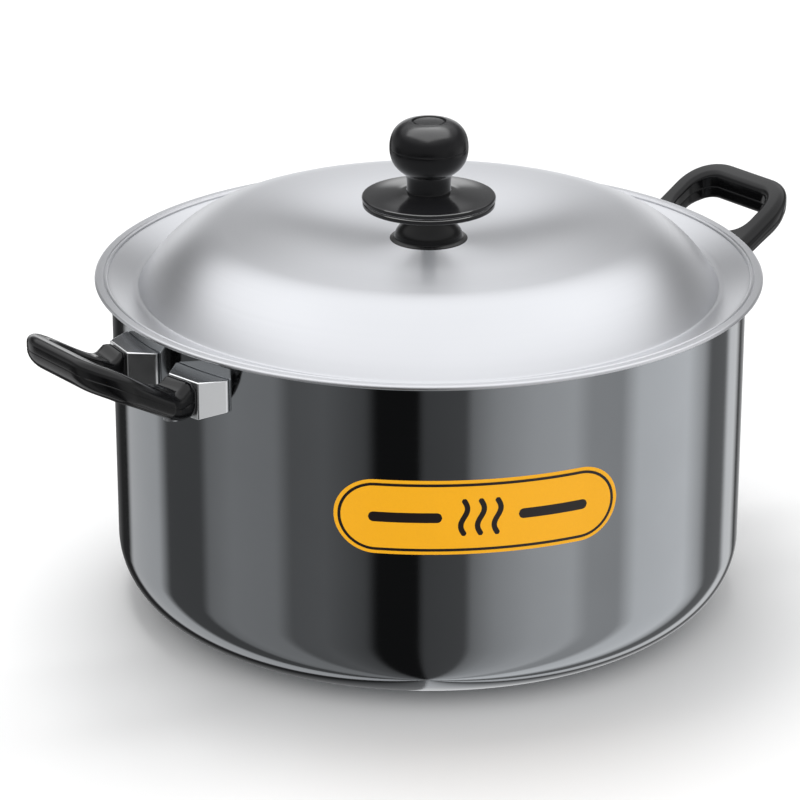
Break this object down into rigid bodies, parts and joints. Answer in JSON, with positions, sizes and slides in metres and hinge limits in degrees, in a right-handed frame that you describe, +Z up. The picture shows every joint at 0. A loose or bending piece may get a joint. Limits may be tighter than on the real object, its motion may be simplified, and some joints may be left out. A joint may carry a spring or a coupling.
{
  "type": "stewpot with lid",
  "caption": "Wide round stewpot with a rounded base, two upswept loop handles on cast brackets, and a loose pressed lid with a raised crown, hand guard disc and ball knob.",
  "frame": {"origin": "bottom centre of the whole assembly, on the flat underside of the base", "axes": "+Z up along the pot's axis, X along the line of the two handles, -Y the side the label faces"},
  "size_m": [0.394, 0.2946, 0.2183],
  "materials": {
    "anodised_pot": "hard-anodised, dark charcoal, glossy",
    "label_film": "glossy printed film, plain",
    "bracket_metal": "polished casting",
    "rivet_metal": "smooth headed rivet",
    "phenolic_black": "moulded phenolic, satin to glossy",
    "fastener_steel": "zinc plated",
    "lid_steel": "satin polished pressing",
    "brass_insert": "turned"
  },
  "bodies": {
    "pot": {"pot_body": "anodised_pot", "label": "label_film", "bracket_left_front": "bracket_metal", "bracket_left_rear": "bracket_metal", "bracket_right_front": "bracket_metal", "bracket_right_rear": "bracket_metal", "rivet_left_front": "rivet_metal", "rivet_left_rear": "rivet_metal", "rivet_right_front": "rivet_metal", "rivet_right_rear": "rivet_metal", "handle_left": "phenolic_black", "handle_right": "phenolic_black", "screw_left_front": "fastener_steel", "screw_left_rear": "fastener_steel", "screw_right_front": "fastener_steel", "screw_right_rear": "fastener_steel"},
    "lid": {"lid_shell": "lid_steel", "knob_foot": "phenolic_black", "guard_disc": "phenolic_black", "knob_head": "phenolic_black", "knob_insert": "brass_insert", "knob_screw": "fastener_steel", "knob_washer": "fastener_steel", "knob_lock_washer": "fastener_steel"}
  },
  "joints": [
    {"name": "lid_lift", "type": "slide", "parent": "pot", "child": "lid", "axis": [0, 0, 1], "range_m": [0, 0.2]}
  ]
}
